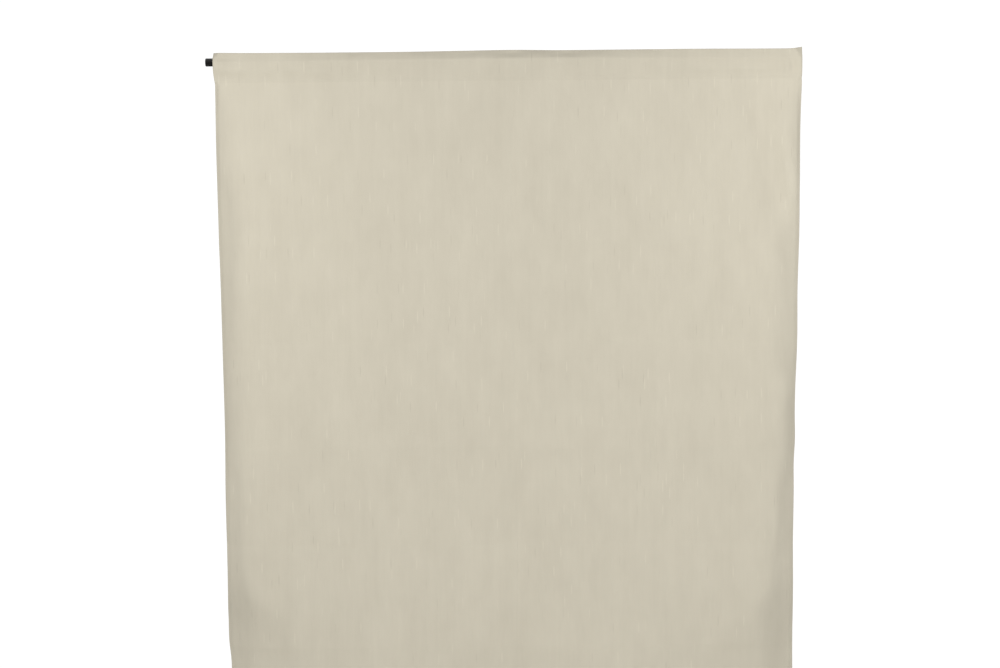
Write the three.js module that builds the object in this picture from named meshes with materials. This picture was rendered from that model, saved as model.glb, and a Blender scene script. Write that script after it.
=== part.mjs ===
// A flat, plain-woven curtain panel with a sewn rod pocket, hanging on a thin black rod.
// Sizes are in millimetres. X runs along the rod, the room is towards -Y, and Z is up.
// The origin is on the rod's axis, at the middle of the panel's width.

import * as THREE from "three";

// Rod
const ROD_RADIUS = 9;
const ROD_SIDES = 24;
const ROD_LEFT_OVERHANG = 17;
const ROD_RIGHT_INSET = 12;

// Cloth panel, with narrow side hems and a deep bottom hem turned to the back
const PANEL_WIDTH = 1320;
const PANEL_LENGTH = 2134;
const CLOTH_THICKNESS = 1.2;
const HEM_THICKNESS = 2 * CLOTH_THICKNESS;
const SIDE_HEM = 12;
const BOTTOM_HEM = 75;
const HEM_STEP = 1;

// Rod pocket: the top of the cloth is pressed to a crease above the rod and sewn down below it
const CREASE_TOP = 20.5;
const CREASE_BLUNTING = 0.9;
const POCKET_DEPTH = 63.5;
const POCKET_LIP = 3;
const POCKET_SHARES = [0.12, 0.4, 0.7];
const POCKET_ARC_STEPS = 4;
const ROD_CLEARANCE = 0.4;
const LAYERS_PART_ABOVE_SEAM = 2;

// Heights and widths that follow from these
const HALF_WIDTH = PANEL_WIDTH / 2;
const HALF_THICKNESS = CLOTH_THICKNESS / 2;
const SEAM_Z = CREASE_TOP - POCKET_DEPTH;
const LIP_Z = SEAM_Z - POCKET_LIP;
const BOTTOM_Z = CREASE_TOP - PANEL_LENGTH;

// How the side edges hang, from the crease down. Near them the cloth turns back, by turn degrees
// round a radius, with a flat strip left outside the bend. It also bows back softly and draws in,
// or where drawIn is negative, hangs a little wider than its sewn seam
const LEFT_EDGE = [
  { z: 21, drawIn: 4, turn: 0, flat: 14, radius: 60, bow: 0 },
  { z: 8, drawIn: 0.5, turn: 0, flat: 14, radius: 60, bow: 0 },
  { z: -22, drawIn: 0, turn: 0, flat: 14, radius: 60, bow: 0 },
  { z: -52, drawIn: 1.5, turn: 12, flat: 14, radius: 60, bow: 0 },
  { z: -70, drawIn: -1, turn: 21, flat: 18, radius: 60, bow: 0 },
  { z: -200, drawIn: -2.5, turn: 25, flat: 20, radius: 65, bow: 1 },
  { z: -290, drawIn: -2.5, turn: 25, flat: 26, radius: 75, bow: 1 },
  { z: -400, drawIn: -3, turn: 24, flat: 40, radius: 95, bow: 1 },
  { z: -516, drawIn: -0.5, turn: 27, flat: 26, radius: 100, bow: 2 },
  { z: -630, drawIn: 2.5, turn: 26, flat: 18, radius: 105, bow: 3 },
  { z: -743, drawIn: 4, turn: 27, flat: 14, radius: 115, bow: 4 },
  { z: -857, drawIn: 5, turn: 27, flat: 18, radius: 90, bow: 5 },
  { z: -971, drawIn: 6, turn: 19, flat: 30, radius: 80, bow: 6 },
  { z: -1144, drawIn: 8, turn: 16, flat: 36, radius: 75, bow: 7 },
  { z: -1201, drawIn: 6, turn: 17, flat: 50, radius: 95, bow: 8 },
  { z: -1259, drawIn: 2, turn: 18, flat: 60, radius: 300, bow: 9 },
  { z: -1316, drawIn: 3, turn: 14, flat: 90, radius: 450, bow: 11 },
  { z: -1374, drawIn: 8.5, turn: 11, flat: 120, radius: 600, bow: 13 },
  { z: -1700, drawIn: 9, turn: 14, flat: 30, radius: 260, bow: 16 },
  { z: BOTTOM_Z, drawIn: 11, turn: 14, flat: 18, radius: 150, bow: 18 },
];
const RIGHT_EDGE = [
  { z: 21, drawIn: 0, turn: 20, flat: 4, radius: 10, bow: 0 },
  { z: 8, drawIn: -0.5, turn: 20, flat: 4, radius: 10, bow: 0 },
  { z: -22, drawIn: -1, turn: 22, flat: 4, radius: 10, bow: 0 },
  { z: -52, drawIn: -1.5, turn: 16, flat: 8, radius: 30, bow: 0 },
  { z: -70, drawIn: -2.5, turn: 22, flat: 10, radius: 50, bow: 0 },
  { z: -122, drawIn: -2, turn: 26, flat: 12, radius: 50, bow: 0 },
  { z: -200, drawIn: -2, turn: 25, flat: 16, radius: 75, bow: 1 },
  { z: -290, drawIn: 0.5, turn: 23, flat: 12, radius: 60, bow: 1 },
  { z: -347, drawIn: 0, turn: 22, flat: 20, radius: 70, bow: 1 },
  { z: -400, drawIn: -2, turn: 22, flat: 36, radius: 110, bow: 1 },
  { z: -516, drawIn: 1, turn: 23, flat: 36, radius: 110, bow: 2 },
  { z: -573, drawIn: 2, turn: 25, flat: 24, radius: 110, bow: 2 },
  { z: -630, drawIn: 3, turn: 22, flat: 24, radius: 140, bow: 3 },
  { z: -686, drawIn: 3.5, turn: 27, flat: 14, radius: 150, bow: 3 },
  { z: -743, drawIn: 8, turn: 28, flat: 22, radius: 40, bow: 4 },
  { z: -800, drawIn: 8, turn: 30, flat: 22, radius: 50, bow: 4 },
  { z: -857, drawIn: 8, turn: 28, flat: 22, radius: 60, bow: 5 },
  { z: -914, drawIn: 11, turn: 27, flat: 24, radius: 55, bow: 5 },
  { z: -971, drawIn: 10.5, turn: 23, flat: 36, radius: 60, bow: 6 },
  { z: -1086, drawIn: 13.5, turn: 18, flat: 44, radius: 50, bow: 7 },
  { z: -1144, drawIn: 13.5, turn: 16, flat: 54, radius: 60, bow: 7 },
  { z: -1201, drawIn: 12.5, turn: 17, flat: 52, radius: 95, bow: 8 },
  { z: -1259, drawIn: 10, turn: 16, flat: 75, radius: 260, bow: 9 },
  { z: -1316, drawIn: 9.5, turn: 14, flat: 100, radius: 450, bow: 11 },
  { z: -1374, drawIn: 10.5, turn: 11, flat: 130, radius: 600, bow: 13 },
  { z: -1700, drawIn: 12, turn: 14, flat: 30, radius: 260, bow: 16 },
  { z: BOTTOM_Z, drawIn: 14, turn: 14, flat: 18, radius: 150, bow: 18 },
];
const DRAW_IN_WIDTH = 260;
const BOW_WIDTH = 300;

// Soft upright folds. rise is how far one stands out towards the room (a trough is negative);
// it grows over the length fadeIn below topZ, and dies over the length fadeOut above endZ
const FOLDS = [
  { topX: -592, topZ: -60, endX: -584, endZ: BOTTOM_Z, halfWidth: 42, rise: 4, fadeIn: 160, fadeOut: 0 },
  { topX: 512, topZ: -60, endX: 528, endZ: -700, halfWidth: 46, rise: 4, fadeIn: 120, fadeOut: 200 },
  { topX: 552, topZ: -46, endX: 634, endZ: -430, halfWidth: 28, rise: -8, fadeIn: 70, fadeOut: 130 },
  { topX: 604, topZ: -46, endX: 650, endZ: -360, halfWidth: 22, rise: 2, fadeIn: 60, fadeOut: 150 },
  { topX: 574, topZ: -420, endX: 590, endZ: BOTTOM_Z, halfWidth: 44, rise: 5, fadeIn: 400, fadeOut: 0 },
  { topX: 8, topZ: -60, endX: -6, endZ: BOTTOM_Z, halfWidth: 48, rise: -11, fadeIn: 1900, fadeOut: 0 },
  { topX: -330, topZ: -300, endX: -352, endZ: BOTTOM_Z, halfWidth: 125, rise: 13, fadeIn: 1700, fadeOut: 0 },
  { topX: -170, topZ: -500, endX: -158, endZ: BOTTOM_Z, halfWidth: 70, rise: -7, fadeIn: 1500, fadeOut: 0 },
  { topX: 235, topZ: -300, endX: 262, endZ: BOTTOM_Z, halfWidth: 110, rise: 12, fadeIn: 1700, fadeOut: 0 },
  { topX: 432, topZ: -500, endX: 424, endZ: BOTTOM_Z, halfWidth: 62, rise: -8, fadeIn: 1500, fadeOut: 0 },
];

// The line of the pressed crease above the rod, which isn't quite level. It leans to the room
// at both ends
const CREASE_LINE = [
  { x: -660, y: -6.2, z: 20.8 },
  { x: -590, y: -6.6, z: 19.7 },
  { x: -500, y: -5.6, z: 19.4 },
  { x: -400, y: -3.4, z: 19.4 },
  { x: -225, y: -1.8, z: 19.8 },
  { x: -100, y: -0.2, z: 21.1 },
  { x: 11, y: 1.6, z: 22.4 },
  { x: 110, y: 0.8, z: 20.9 },
  { x: 240, y: -1.8, z: 20.7 },
  { x: 340, y: -4.4, z: 20.6 },
  { x: 435, y: -6, z: 20.5 },
  { x: 600, y: -7.2, z: 19.5 },
  { x: 635, y: -7.4, z: 20 },
  { x: 660, y: -7, z: 23.9 },
];

// Where the panel's sections are drawn, measured in from each side edge, and how many spans lie
// between those; and how far apart the heights are at most, at which each section is divided
const EDGE_STATIONS = [0, SIDE_HEM, SIDE_HEM + HEM_STEP, 21, 31, 41, 52, 66, 84, 106, 134];
const MIDDLE_SPANS = 24;
const HEIGHT_STEP = 62;

const LINEN = new THREE.MeshStandardMaterial({ color: 0xcec7b5, roughness: 0.92, metalness: 0 });
const BLACK_PAINT = new THREE.MeshStandardMaterial({ color: 0x1c1a19, roughness: 0.45, metalness: 0.6 });

function smooth(share) {
  const s = THREE.MathUtils.clamp(share, 0, 1);
  return s * s * (3 - 2 * s);
}

// Reads a column of a table at a place between its rows, along a smooth curve through them
function tableValue(rows, key, column, at) {
  const last = rows.length - 1;
  const i = rows.findIndex((row, n) => n < last && (at - row[key]) * (at - rows[n + 1][key]) <= 0);
  if (i === -1) {
    const beforeFirst = Math.abs(at - rows[0][key]) < Math.abs(at - rows[last][key]);
    return rows[beforeFirst ? 0 : last][column];
  }
  const slope = (a, b) => (rows[b][column] - rows[a][column]) / (rows[b][key] - rows[a][key]);
  const span = rows[i + 1][key] - rows[i][key];
  const share = (at - rows[i][key]) / span;
  const leaving = slope(Math.max(i - 1, 0), i + 1) * span * share * (1 - share) ** 2;
  const arriving = slope(i, Math.min(i + 2, last)) * span * share ** 2 * (1 - share);
  return THREE.MathUtils.lerp(rows[i][column], rows[i + 1][column], smooth(share)) + leaving - arriving;
}

// How far a strip of cloth comes in and goes back where it turns back near its edge
function turnedBack(fromEdge, turn, flat, radius) {
  const whole = THREE.MathUtils.degToRad(turn);
  const angle = THREE.MathUtils.clamp((flat + radius * whole - fromEdge) / radius, 0, whole);
  const past = Math.max(0, flat - fromEdge);
  return {
    cameIn: radius * (angle - Math.sin(angle)) + past * (1 - Math.cos(whole)),
    wentBack: radius * (1 - Math.cos(angle)) + past * Math.sin(whole),
  };
}

// A bend that is strongest at the side edge and has gone at a given width from it
const bend = (fromEdge, width) => Math.max(0, 1 - fromEdge / width) ** 2;

// How far one soft fold stands out at a point of the flat cloth
function foldRise(fold, u, z) {
  if (z > fold.topZ || z < fold.endZ) return 0;
  const along = (fold.topZ - z) / (fold.topZ - fold.endZ);
  const centre = THREE.MathUtils.lerp(fold.topX, fold.endX, along);
  const across = Math.exp(-(((u - centre) / fold.halfWidth) ** 2));
  const grown = smooth((fold.topZ - z) / fold.fadeIn);
  const left = fold.fadeOut > 0 ? smooth((z - fold.endZ) / fold.fadeOut) : 1;
  return fold.rise * across * grown * left;
}

// How far one side edge pulls a point of the flat cloth in and back
function edgePull(edge, fromEdge, z) {
  const [drawIn, turn, flat, radius, bow] = ["drawIn", "turn", "flat", "radius", "bow"].map((column) =>
    tableValue(edge, "z", column, z),
  );
  const { cameIn, wentBack } = turnedBack(fromEdge, turn, flat, radius);
  return {
    inwards: drawIn * bend(fromEdge, DRAW_IN_WIDTH) + cameIn,
    back: bow * bend(fromEdge, BOW_WIDTH) + wentBack,
  };
}

// Where a point of the flat cloth hangs: u lies across the panel, and y in its thickness or pocket
function hang(u, y, z) {
  const left = edgePull(LEFT_EDGE, HALF_WIDTH + u, z);
  const right = edgePull(RIGHT_EDGE, HALF_WIDTH - u, z);
  const risen = FOLDS.reduce((sum, fold) => sum + foldRise(fold, u, z), 0);
  return new THREE.Vector3(u + left.inwards - right.inwards, y + left.back + right.back - risen, z);
}

// The way through the hanging cloth, from its front face to its back one
function through(u, z) {
  const reach = 2;
  const across = hang(Math.min(u + reach, HALF_WIDTH), 0, z).sub(hang(Math.max(u - reach, -HALF_WIDTH), 0, z));
  const up = hang(u, 0, z + reach).sub(hang(u, 0, z - reach));
  return up.cross(across).normalize();
}

// The cloth's thickness below the pocket: two layers in the hems and where the pocket is sewn on
function thicknessAt(u, z) {
  const inSideHem = HALF_WIDTH - Math.abs(u) <= SIDE_HEM;
  const inBottomHem = z <= BOTTOM_Z + BOTTOM_HEM;
  const underPocket = z >= LIP_Z;
  return inSideHem || inBottomHem || underPocket ? HEM_THICKNESS : CLOTH_THICKNESS;
}

// The pocket's wall in section at a place across the panel, from above the seam up the front, over
// the crease and down the back, as pairs of points on its outer and inner face. The wall runs
// straight from the seam to the rod, round the rod, and straight on to the crease. An angle is its
// way out, from straight down by way of the room
function pocketWall(u) {
  const radius = ROD_RADIUS + ROD_CLEARANCE + HALF_THICKNESS;
  const lowContact =
    Math.atan2(HALF_THICKNESS, -SEAM_Z) + Math.acos(radius / Math.hypot(HALF_THICKNESS, SEAM_Z));
  const tip = { y: tableValue(CREASE_LINE, "x", "y", u), z: tableValue(CREASE_LINE, "x", "z", u) };
  const tipFar = Math.hypot(tip.y, tip.z);
  const bendFar = tipFar - CREASE_BLUNTING;
  const towardsTip = Math.PI + Math.atan2(tip.y, tip.z);
  const wallAt = (y, z, angle) => ({
    outer: { y: y - HALF_THICKNESS * Math.sin(angle), z: z - HALF_THICKNESS * Math.cos(angle) },
    inner: { y: y + HALF_THICKNESS * Math.sin(angle), z: z + HALF_THICKNESS * Math.cos(angle) },
  });
  const onRod = (angle) => ({ y: -radius * Math.sin(angle), z: -radius * Math.cos(angle) });
  const onTip = (far) => ({ y: (tip.y * far) / tipFar, z: (tip.z * far) / tipFar });
  const bendPoint = onTip(bendFar);
  const side = (sign) => {
    const lowAngle = sign > 0 ? 2 * Math.PI - lowContact : lowContact;
    const highAngle = towardsTip + sign * Math.acos(radius / bendFar);
    const low = onRod(lowAngle);
    const high = onRod(highAngle);
    const up = POCKET_SHARES.map((share) =>
      wallAt(
        THREE.MathUtils.lerp(sign * HALF_THICKNESS, low.y, share),
        THREE.MathUtils.lerp(SEAM_Z, low.z, share),
        lowAngle,
      ),
    );
    for (let i = 0; i <= POCKET_ARC_STEPS; i++) {
      const angle = THREE.MathUtils.lerp(lowAngle, highAngle, i / POCKET_ARC_STEPS);
      const point = onRod(angle);
      up.push(wallAt(point.y, point.z, angle));
    }
    up.push(wallAt((high.y + bendPoint.y) / 2, (high.z + bendPoint.z) / 2, highAngle));
    return up;
  };
  const crease = { outer: tip, inner: onTip(bendFar * (1 - HALF_THICKNESS / radius)) };
  return [...side(-1), crease, ...side(1).reverse()];
}

// Heights at which the panel below the pocket is divided, from the bottom edge up to the seam: all
// those of the side edges' tables, with more between where they lie far apart
function panelHeights() {
  const from = BOTTOM_Z + BOTTOM_HEM + HEM_STEP;
  const to = LIP_Z - HEM_STEP;
  const told = [...LEFT_EDGE, ...RIGHT_EDGE].map((row) => row.z).filter((z) => z > from && z < to);
  const main = [...new Set([from, ...told, to])].sort((a, b) => a - b);
  const heights = [BOTTOM_Z, BOTTOM_Z + BOTTOM_HEM, from];
  for (let i = 0; i + 1 < main.length; i++) {
    const steps = Math.ceil((main[i + 1] - main[i]) / HEIGHT_STEP);
    for (let n = 1; n <= steps; n++) heights.push(THREE.MathUtils.lerp(main[i], main[i + 1], n / steps));
  }
  return [...heights, LIP_Z, SEAM_Z];
}

// Places across the panel where its section is drawn, from left to right
function panelStations() {
  const left = EDGE_STATIONS.map((fromEdge) => fromEdge - HALF_WIDTH);
  const right = left.map((u) => -u).reverse();
  const middle = [];
  for (let i = 1; i < MIDDLE_SPANS; i++) {
    middle.push(THREE.MathUtils.lerp(left[left.length - 1], right[0], i / MIDDLE_SPANS));
  }
  return [...left, ...middle, ...right];
}

// Joins two rows of points with triangles, one triangle only where the rows meet
function strip(index, from, to) {
  for (let i = 0; i + 1 < from.length; i++) {
    index.push(from[i], to[i], to[i + 1]);
    if (from[i + 1] !== to[i + 1]) index.push(from[i], to[i + 1], from[i + 1]);
  }
}

// Cloth, as sections across the panel joined into one closed skin, with the pocket's channel
// running right through it from side to side
function makePanel() {
  const heights = panelHeights();
  const positions = [];
  const index = [];
  const place = (points) => points.map((p) => positions.push(p.x, p.y, p.z) / 3 - 1);
  const sections = panelStations().map((u) => {
    const wall = pocketWall(u);
    const frontFace = heights.map((z) => hang(u, -CLOTH_THICKNESS, z));
    const backFace = frontFace.map((p, i) => {
      const z = heights[i];
      return p.clone().addScaledVector(through(u, z), thicknessAt(u, z));
    });
    const front = place(frontFace);
    const back = place(backFace);
    const [channelFloor] = place([hang(u, 0, SEAM_Z + LAYERS_PART_ABOVE_SEAM)]);
    const over = place(wall.map(({ outer }) => hang(u, outer.y, outer.z)));
    const inside = place(wall.map(({ inner }) => hang(u, inner.y, inner.z)));
    const pocket = [front[front.length - 1], ...over, back[back.length - 1]];
    return {
      frontEdge: [...front, channelFloor],
      backEdge: [...back, channelFloor],
      pocket,
      channel: [channelFloor, ...inside, channelFloor],
      outline: [...front, ...over, ...back.reverse(), front[0]],
    };
  });
  for (let i = 0; i + 1 < sections.length; i++) {
    strip(index, sections[i].outline, sections[i + 1].outline);
    strip(index, sections[i + 1].channel, sections[i].channel);
  }
  const leftEnd = sections[0];
  const rightEnd = sections[sections.length - 1];
  strip(index, leftEnd.backEdge, leftEnd.frontEdge);
  strip(index, leftEnd.channel, leftEnd.pocket);
  strip(index, rightEnd.frontEdge, rightEnd.backEdge);
  strip(index, rightEnd.pocket, rightEnd.channel);
  const geometry = new THREE.BufferGeometry();
  geometry.setAttribute("position", new THREE.Float32BufferAttribute(positions, 3));
  geometry.setIndex(index);
  geometry.computeVertexNormals();
  const panel = new THREE.Mesh(geometry, LINEN);
  panel.name = "panel";
  return panel;
}

// Rod, which shows only where it sticks out of the pocket's left end
function makeRod() {
  const leftEnd = -HALF_WIDTH - ROD_LEFT_OVERHANG;
  const rightEnd = HALF_WIDTH - ROD_RIGHT_INSET;
  const rod = new THREE.Mesh(
    new THREE.CylinderGeometry(ROD_RADIUS, ROD_RADIUS, rightEnd - leftEnd, ROD_SIDES),
    BLACK_PAINT,
  );
  rod.name = "rod";
  rod.rotation.z = -Math.PI / 2;
  rod.position.x = (leftEnd + rightEnd) / 2;
  return rod;
}

const curtain = new THREE.Group();
curtain.add(makeRod(), makePanel());

export default curtain;
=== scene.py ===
"""Curtain panel on a rod: the cloth, its stitching and the rod's finish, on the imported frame.

Sizes are in metres. X runs along the rod, the room is towards -Y, and Z is up.
"""

from math import pi, radians

import bpy
import numpy as np
from mathutils import Matrix, Vector, noise


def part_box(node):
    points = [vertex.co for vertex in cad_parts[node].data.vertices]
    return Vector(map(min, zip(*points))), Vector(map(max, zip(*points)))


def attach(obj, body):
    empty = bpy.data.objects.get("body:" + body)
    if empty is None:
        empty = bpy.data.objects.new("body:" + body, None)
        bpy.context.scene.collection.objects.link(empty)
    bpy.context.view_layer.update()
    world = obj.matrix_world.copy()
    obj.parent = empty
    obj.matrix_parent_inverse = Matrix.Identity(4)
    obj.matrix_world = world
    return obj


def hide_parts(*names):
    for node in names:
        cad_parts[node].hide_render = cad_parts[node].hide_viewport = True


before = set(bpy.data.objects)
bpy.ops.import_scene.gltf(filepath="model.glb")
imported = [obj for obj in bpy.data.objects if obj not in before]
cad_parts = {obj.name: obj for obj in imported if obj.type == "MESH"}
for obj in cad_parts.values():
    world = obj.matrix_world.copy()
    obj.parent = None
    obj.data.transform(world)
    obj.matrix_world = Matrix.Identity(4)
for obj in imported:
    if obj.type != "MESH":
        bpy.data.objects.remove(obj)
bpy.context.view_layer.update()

# Camera, at the photograph's place: a little left of the middle, level with the panel's upper half
CAMERA_PLACE = (-0.0223, -4.0755, -0.4018)
CAMERA_PITCH = radians(-3.0)
CAMERA_ROLL = radians(-0.5)
CAMERA_LENS = 65
CAMERA_SENSOR = 36

# Rod, from the frame
rod_low, rod_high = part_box("rod")
ROD_RADIUS = (rod_high.z - rod_low.z) / 2
ROD_LEFT = rod_low.x
ROD_RIGHT = rod_high.x

# Rod's finish: a small chamfer, and a plug set a little into each end
ROD_CHAMFER = 0.0006
PLUG_RADIUS = 0.0066
PLUG_CHAMFER = 0.0004
PLUG_SUNK = 0.0008
ROD_SIDES = 72
ROD_SPANS = 11

# Cloth panel and its hems
HALF_WIDTH = 0.660
PANEL_LENGTH = 2.134
CLOTH_THICKNESS = 0.0012
HEM_THICKNESS = 2 * CLOTH_THICKNESS
SIDE_HEM = 0.012
BOTTOM_HEM = 0.075
HEM_STEP = 0.0008
LEAST_THICKNESS_SHARE = 0.06

# How far away on both sides the points are that a face's direction is measured between
FACE_REACH = 0.0015

# Rod pocket, pressed to a crease above the rod and sewn down below it. Its wall curves out of the
# seam over SEAM_EASE, a share of its way up to the rod
CREASE_TOP = 0.0205
CREASE_BEND = 0.0009
POCKET_DEPTH = 0.0635
POCKET_LIP = 0.003
ROD_CLEARANCE = 0.0004
LAYERS_PART_ABOVE_SEAM = 0.002
SEAM_EASE = 0.15

# Heights and sizes that follow from these
SEAM_Z = CREASE_TOP - POCKET_DEPTH
LIP_Z = SEAM_Z - POCKET_LIP
BOTTOM_Z = CREASE_TOP - PANEL_LENGTH

# How the side edges hang, from the crease down. The cloth turns back near them: by turn degrees round a
# radius, with a flat strip left outside the bend. It also bows back softly, and draws in, or spreads
# out where draw_in is below 0
LEFT_EDGE = [
    dict(z=0.021, draw_in=-0.0016, turn=33, flat=0.014, radius=0.003, bow=0),
    dict(z=0.014, draw_in=-0.0012, turn=33, flat=0.009, radius=0.003, bow=0),
    dict(z=0.009, draw_in=0, turn=26, flat=0.0015, radius=0.002, bow=0),
    dict(z=0.004, draw_in=0, turn=5, flat=0, radius=0.001, bow=0),
    dict(z=-0.002, draw_in=0, turn=0, flat=0, radius=0.001, bow=0),
    dict(z=-0.022, draw_in=0, turn=0, flat=0.014, radius=0.060, bow=0),
    dict(z=-0.052, draw_in=0.0015, turn=12, flat=0.014, radius=0.060, bow=0),
    dict(z=-0.070, draw_in=-0.001, turn=21, flat=0.018, radius=0.060, bow=0),
    dict(z=-0.200, draw_in=-0.0025, turn=25, flat=0.020, radius=0.065, bow=0.001),
    dict(z=-0.290, draw_in=-0.0025, turn=25, flat=0.026, radius=0.075, bow=0.001),
    dict(z=-0.400, draw_in=-0.003, turn=24, flat=0.040, radius=0.095, bow=0.001),
    dict(z=-0.516, draw_in=-0.0005, turn=27, flat=0.026, radius=0.100, bow=0.002),
    dict(z=-0.630, draw_in=0.0025, turn=26, flat=0.018, radius=0.105, bow=0.003),
    dict(z=-0.743, draw_in=0.004, turn=27, flat=0.014, radius=0.115, bow=0.004),
    dict(z=-0.857, draw_in=0.005, turn=27, flat=0.018, radius=0.090, bow=0.005),
    dict(z=-0.971, draw_in=0.006, turn=19, flat=0.030, radius=0.080, bow=0.006),
    dict(z=-1.144, draw_in=0.008, turn=16, flat=0.036, radius=0.075, bow=0.007),
    dict(z=-1.201, draw_in=0.006, turn=17, flat=0.050, radius=0.095, bow=0.008),
    dict(z=-1.259, draw_in=0.002, turn=18, flat=0.060, radius=0.300, bow=0.009),
    dict(z=-1.316, draw_in=0.003, turn=14, flat=0.090, radius=0.450, bow=0.011),
    dict(z=-1.374, draw_in=0.0085, turn=11, flat=0.120, radius=0.600, bow=0.013),
    dict(z=-1.700, draw_in=0.009, turn=14, flat=0.030, radius=0.260, bow=0.016),
    dict(z=BOTTOM_Z, draw_in=0.011, turn=14, flat=0.018, radius=0.150, bow=0.018),
]
RIGHT_EDGE = [
    dict(z=0.021, draw_in=-0.0032, turn=28, flat=0.020, radius=0.004, bow=0),
    dict(z=0.012, draw_in=-0.0018, turn=28, flat=0.012, radius=0.004, bow=0),
    dict(z=0.002, draw_in=-0.0010, turn=30, flat=0.006, radius=0.003, bow=0),
    dict(z=-0.022, draw_in=-0.0015, turn=34, flat=0.0038, radius=0.003, bow=0),
    dict(z=-0.042, draw_in=-0.0017, turn=34, flat=0.0040, radius=0.006, bow=0),
    dict(z=-0.052, draw_in=-0.0015, turn=16, flat=0.008, radius=0.030, bow=0),
    dict(z=-0.070, draw_in=-0.0025, turn=22, flat=0.010, radius=0.050, bow=0),
    dict(z=-0.122, draw_in=-0.002, turn=26, flat=0.012, radius=0.050, bow=0),
    dict(z=-0.200, draw_in=-0.002, turn=25, flat=0.016, radius=0.075, bow=0.001),
    dict(z=-0.290, draw_in=0.0005, turn=23, flat=0.012, radius=0.060, bow=0.001),
    dict(z=-0.347, draw_in=0, turn=22, flat=0.020, radius=0.070, bow=0.001),
    dict(z=-0.400, draw_in=-0.002, turn=22, flat=0.036, radius=0.110, bow=0.001),
    dict(z=-0.516, draw_in=0.001, turn=23, flat=0.036, radius=0.110, bow=0.002),
    dict(z=-0.573, draw_in=0.002, turn=25, flat=0.024, radius=0.110, bow=0.002),
    dict(z=-0.630, draw_in=0.003, turn=22, flat=0.024, radius=0.140, bow=0.003),
    dict(z=-0.686, draw_in=0.0035, turn=27, flat=0.014, radius=0.150, bow=0.003),
    dict(z=-0.743, draw_in=0.008, turn=28, flat=0.022, radius=0.040, bow=0.004),
    dict(z=-0.800, draw_in=0.008, turn=30, flat=0.022, radius=0.050, bow=0.004),
    dict(z=-0.857, draw_in=0.008, turn=28, flat=0.022, radius=0.060, bow=0.005),
    dict(z=-0.914, draw_in=0.011, turn=27, flat=0.024, radius=0.055, bow=0.005),
    dict(z=-0.971, draw_in=0.0105, turn=23, flat=0.036, radius=0.060, bow=0.006),
    dict(z=-1.086, draw_in=0.0135, turn=18, flat=0.044, radius=0.050, bow=0.007),
    dict(z=-1.144, draw_in=0.0135, turn=16, flat=0.054, radius=0.060, bow=0.007),
    dict(z=-1.201, draw_in=0.0125, turn=17, flat=0.052, radius=0.095, bow=0.008),
    dict(z=-1.259, draw_in=0.010, turn=16, flat=0.075, radius=0.260, bow=0.009),
    dict(z=-1.316, draw_in=0.0095, turn=14, flat=0.100, radius=0.450, bow=0.011),
    dict(z=-1.374, draw_in=0.0105, turn=11, flat=0.130, radius=0.600, bow=0.013),
    dict(z=-1.700, draw_in=0.012, turn=14, flat=0.030, radius=0.260, bow=0.016),
    dict(z=BOTTOM_Z, draw_in=0.014, turn=14, flat=0.018, radius=0.150, bow=0.018),
]
DRAW_IN_WIDTH = 0.260
BOW_WIDTH = 0.300

# How far the outermost strip of each side hem drops behind the rest of it, below the pocket
HEM_DROPS = [
    dict(z=-0.046, left=0.0028, right=0.0006),
    dict(z=-0.090, left=0.0030, right=0.0010),
    dict(z=-0.110, left=0.0019, right=0.0020),
    dict(z=-0.150, left=0.0018, right=0.0032),
    dict(z=-0.200, left=0.0021, right=0.0034),
    dict(z=-0.260, left=0.0015, right=0.0022),
    dict(z=-0.400, left=0.0012, right=0.0013),
    dict(z=-0.560, left=0.0011, right=0.0009),
    dict(z=-0.657, left=0.0008, right=0.0007),
    dict(z=-0.769, left=0.0010, right=0.0006),
    dict(z=-0.881, left=0.0010, right=0.0002),
    dict(z=-0.993, left=0.0007, right=0.0003),
    dict(z=-1.105, left=0.0009, right=0.0007),
    dict(z=BOTTOM_Z, left=0.0010, right=0.0010),
]
HEM_DROP_FROM = 0.0085
HEM_DROP_TO = 0.0035
HEM_DROP_GROWTH = 0.006

# Soft upright folds, from top to end, each an x and z. rise is how far one stands out towards the
# room; it grows over the length grow below its top, and dies over the length die above its end
FOLDS = [
    dict(top=(-0.592, -0.060), end=(-0.584, BOTTOM_Z), half_width=0.042, rise=0.004, grow=0.16, die=0),
    dict(top=(0.512, -0.060), end=(0.528, -0.700), half_width=0.046, rise=0.004, grow=0.12, die=0.20),
    dict(top=(0.552, -0.046), end=(0.634, -0.430), half_width=0.028, rise=-0.008, grow=0.07, die=0.13),
    dict(top=(0.604, -0.046), end=(0.650, -0.360), half_width=0.022, rise=0.002, grow=0.06, die=0.15),
    dict(top=(0.574, -0.420), end=(0.590, BOTTOM_Z), half_width=0.044, rise=0.005, grow=0.40, die=0),
    dict(top=(0.008, -0.060), end=(-0.006, BOTTOM_Z), half_width=0.048, rise=-0.011, grow=1.90, die=0),
    dict(top=(-0.330, -0.300), end=(-0.352, BOTTOM_Z), half_width=0.125, rise=0.013, grow=1.70, die=0),
    dict(top=(-0.170, -0.500), end=(-0.158, BOTTOM_Z), half_width=0.070, rise=-0.007, grow=1.50, die=0),
    dict(top=(0.235, -0.300), end=(0.262, BOTTOM_Z), half_width=0.110, rise=0.012, grow=1.70, die=0),
    dict(top=(0.432, -0.500), end=(0.424, BOTTOM_Z), half_width=0.062, rise=-0.008, grow=1.50, die=0),
]

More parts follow.
